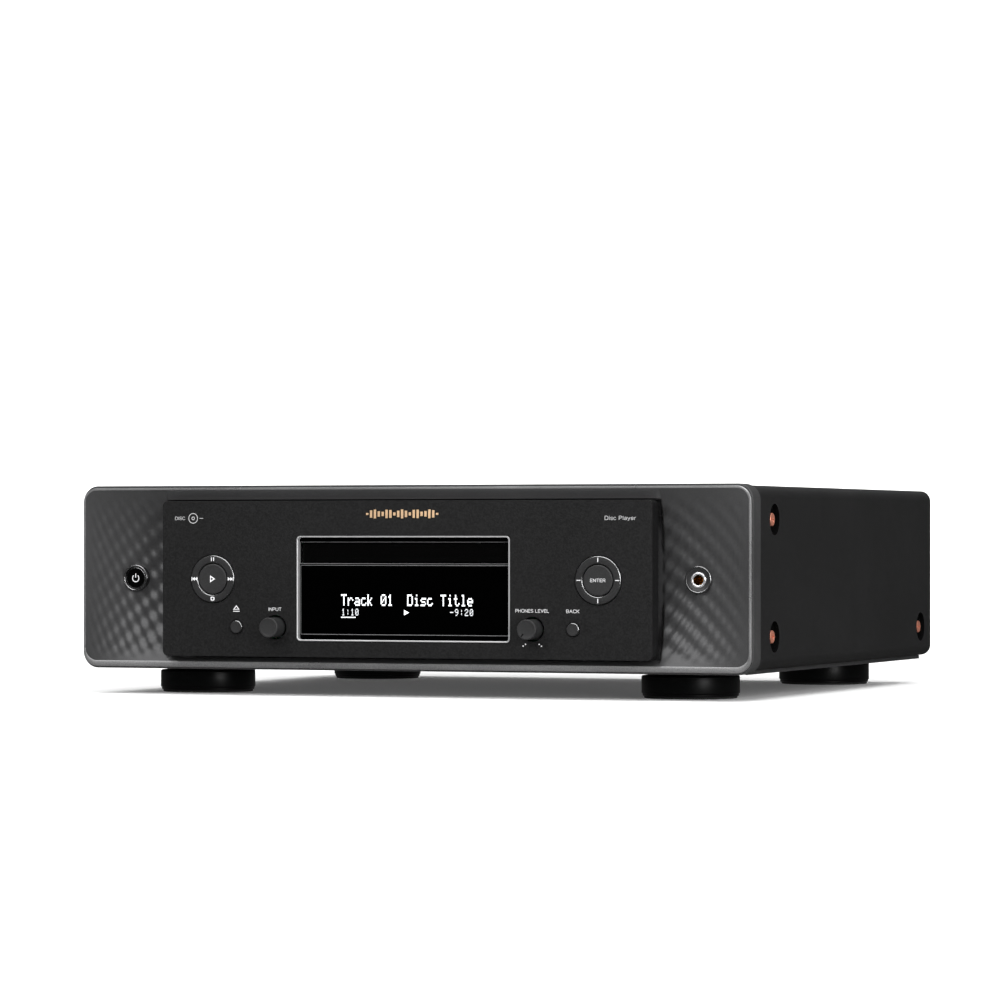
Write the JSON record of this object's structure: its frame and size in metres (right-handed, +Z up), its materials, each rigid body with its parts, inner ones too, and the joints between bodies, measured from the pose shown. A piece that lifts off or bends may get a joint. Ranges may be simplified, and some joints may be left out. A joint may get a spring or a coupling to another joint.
{
  "type": "cd player",
  "caption": "Full-width compact disc player: steel case on round feet, dished front plate, floating centre panel, sliding disc tray with loader, sprung buttons and rotary knobs.",
  "frame": {"origin": "middle of the base at table level, centred on the overall width and depth", "axes": "+Z up, the front faces -Y, +X is the right side seen from the front"},
  "size_m": [0.442, 0.424, 0.13],
  "materials": {
    "cover_black": "fine satin black paint",
    "chassis_steel": "zinc-plated sheet steel",
    "front_resin": "satin moulded resin",
    "front_plate_metal": "waved satin graphite",
    "panel_black": "fine matt blasted black",
    "gold_trim": "satin gold",
    "copper_plate": "copper plated",
    "bright_chrome": "polished",
    "gloss_black": "polished black",
    "button_black": "fine matt black",
    "foot_resin": "semi-gloss black",
    "pad_rubber": "soft",
    "screw_black": "black oxide",
    "board_green": "solder mask",
    "board_tan": "phenolic board",
    "loader_black": "moulded",
    "mech_steel": "pressed steel",
    "polished_steel": "ground",
    "gear_resin": "natural acetal",
    "belt_rubber": "moulded",
    "transformer_wrap": "wound tape",
    "capacitor_sleeve": "shrink sleeve",
    "lens_glass": "coated",
    "gold_plate": "gold plated",
    "port_metal": "tinned"
  },
  "bodies": {
    "chassis": {"bottom_chassis": "chassis_steel", "top_cover": "cover_black", "rear_panel": "cover_black", "cover_screws": "copper_plate", "chassis_screws": "screw_black", "feet": "foot_resin", "foot_pads": "pad_rubber", "front_bezel": "front_resin", "front_plate": "front_plate_metal", "centre_panel": "panel_black", "panel_emblem": "gold_trim", "display_frame": "bright_chrome", "display_window": "gloss_black", "display_module": "board_green", "power_ring": "bright_chrome", "headphone_jack": "bright_chrome", "front_board": "board_green", "tact_switches": "mech_steel", "input_encoder": "mech_steel", "phones_pot": "mech_steel", "loader_base": "loader_black", "loader_bridge": "mech_steel", "loader_brackets": "mech_steel", "loading_motor": "polished_steel", "loading_belt": "belt_rubber", "main_board": "board_green", "power_supply_board": "board_tan", "transformer": "transformer_wrap", "filter_capacitors": "capacitor_sleeve", "network_module": "board_green", "audio_jacks": "gold_plate", "digital_jacks": "gloss_black", "network_ports": "port_metal", "antenna_sockets": "gold_plate", "ac_inlet": "gloss_black"},
    "tray": {"disc_tray": "loader_black", "tray_door": "gloss_black"},
    "motor_pulley": {"motor_pulley": "gear_resin"},
    "drive_gear": {"drive_gear": "gear_resin"},
    "traverse": {"traverse_frame": "mech_steel", "guide_rods": "polished_steel", "spindle_motor": "polished_steel", "sled_motor": "polished_steel"},
    "turntable": {"turntable": "loader_black"},
    "sled": {"pickup_sled": "mech_steel", "pickup_lens": "lens_glass"},
    "sled_gear": {"sled_gear": "gear_resin"},
    "cam_slider": {"cam_slider": "gear_resin"},
    "clamp_puck": {"clamp_puck": "loader_black"},
    "power_button": {"power_button": "gloss_black"},
    "play_button": {"play_button": "button_black"},
    "transport_carrier": {"transport_carrier": "loader_black"},
    "transport_ring": {"transport_ring": "button_black"},
    "nav_carrier": {"nav_carrier": "loader_black"},
    "nav_ring": {"nav_ring": "button_black"},
    "enter_button": {"enter_button": "button_black"},
    "eject_button": {"eject_button": "button_black"},
    "back_button": {"back_button": "button_black"},
    "input_knob": {"input_knob": "button_black"},
    "phones_knob": {"phones_knob": "button_black"}
  },
  "joints": [
    {"name": "tray_slide", "type": "slide", "parent": "chassis", "child": "tray", "axis": [0, -1, 0], "range_m": [0, 0.15]},
    {"name": "drive_gear_spin", "type": "hinge", "parent": "chassis", "child": "drive_gear", "pos_m": [0.05115, -0.16, 0.07], "axis": [0, 0, -1], "continuous": true},
    {"name": "motor_pulley_spin", "type": "hinge", "parent": "chassis", "child": "motor_pulley", "pos_m": [0, -0.16, 0.07], "axis": [0, 0, -1], "continuous": true},
    {"name": "traverse_lift", "type": "hinge", "parent": "chassis", "child": "traverse", "pos_m": [0, -0.017, 0.078], "axis": [-1, 0, 0], "range_deg": [0, 4.2]},
    {"name": "cam_slide", "type": "slide", "parent": "chassis", "child": "cam_slider", "axis": [1, 0, 0], "range_m": [0, 0.0241]},
    {"name": "turntable_spin", "type": "hinge", "parent": "traverse", "child": "turntable", "pos_m": [0, -0.11174, 0.07104], "axis": [0, -0.0732, 0.9973], "continuous": true},
    {"name": "sled_slide", "type": "slide", "parent": "traverse", "child": "sled", "axis": [0, 0.9973, 0.0732], "range_m": [0, 0.033]},
    {"name": "sled_gear_spin", "type": "hinge", "parent": "traverse", "child": "sled_gear", "pos_m": [0.0282, -0.07791, 0.07453], "axis": [0, 0.0732, -0.9973], "continuous": true},
    {"name": "clamp_spin", "type": "hinge", "parent": "chassis", "child": "clamp_puck", "pos_m": [0, -0.112, 0.096], "axis": [0, 0, 1], "continuous": true},
    {"name": "power_press", "type": "slide", "parent": "chassis", "child": "power_button", "axis": [0, 1, 0], "range_m": [0, 0.0007], "stiffness_N_per_m": 600},
    {"name": "play_press", "type": "slide", "parent": "chassis", "child": "play_button", "axis": [0, 1, 0], "range_m": [0, 0.0006], "stiffness_N_per_m": 600},
    {"name": "enter_press", "type": "slide", "parent": "chassis", "child": "enter_button", "axis": [0, 1, 0], "range_m": [0, 0.0006], "stiffness_N_per_m": 600},
    {"name": "eject_press", "type": "slide", "parent": "chassis", "child": "eject_button", "axis": [0, 1, 0], "range_m": [0, 0.0006], "stiffness_N_per_m": 600},
    {"name": "back_press", "type": "slide", "parent": "chassis", "child": "back_button", "axis": [0, 1, 0], "range_m": [0, 0.0006], "stiffness_N_per_m": 600},
    {"name": "transport_rock_v", "type": "hinge", "parent": "chassis", "child": "transport_carrier", "pos_m": [-0.1268, -0.1947, 0.0721], "axis": [1, 0, 0], "range_deg": [-1.5, 1.5], "stiffness_Nm_per_rad": 0.4},
    {"name": "transport_rock_h", "type": "hinge", "parent": "transport_carrier", "child": "transport_ring", "pos_m": [-0.1268, -0.1947, 0.0721], "axis": [0, 0, 1], "range_deg": [-1.5, 1.5], "stiffness_Nm_per_rad": 0.4},
    {"name": "nav_rock_v", "type": "hinge", "parent": "chassis", "child": "nav_carrier", "pos_m": [0.1268, -0.1947, 0.0721], "axis": [1, 0, 0], "range_deg": [-1.5, 1.5], "stiffness_Nm_per_rad": 0.4},
    {"name": "nav_rock_h", "type": "hinge", "parent": "nav_carrier", "child": "nav_ring", "pos_m": [0.1268, -0.1947, 0.0721], "axis": [0, 0, 1], "range_deg": [-1.5, 1.5], "stiffness_Nm_per_rad": 0.4},
    {"name": "input_turn", "type": "hinge", "parent": "chassis", "child": "input_knob", "pos_m": [-0.0847, -0.205, 0.0425], "axis": [0, 1, 0], "continuous": true},
    {"name": "phones_turn", "type": "hinge", "parent": "chassis", "child": "phones_knob", "pos_m": [0.0847, -0.205, 0.0425], "axis": [0, 1, 0], "range_deg": [0, 300]}
  ],
  "couplings": [
    {"joint": "drive_gear_spin", "follows": "tray_slide", "rad_per_m": 142.86},
    {"joint": "motor_pulley_spin", "follows": "tray_slide", "rad_per_m": 464.29},
    {"joint": "cam_slide", "follows": "traverse_lift", "m_per_rad": 0.3274},
    {"joint": "sled_gear_spin", "follows": "sled_slide", "rad_per_m": 166.67}
  ]
}
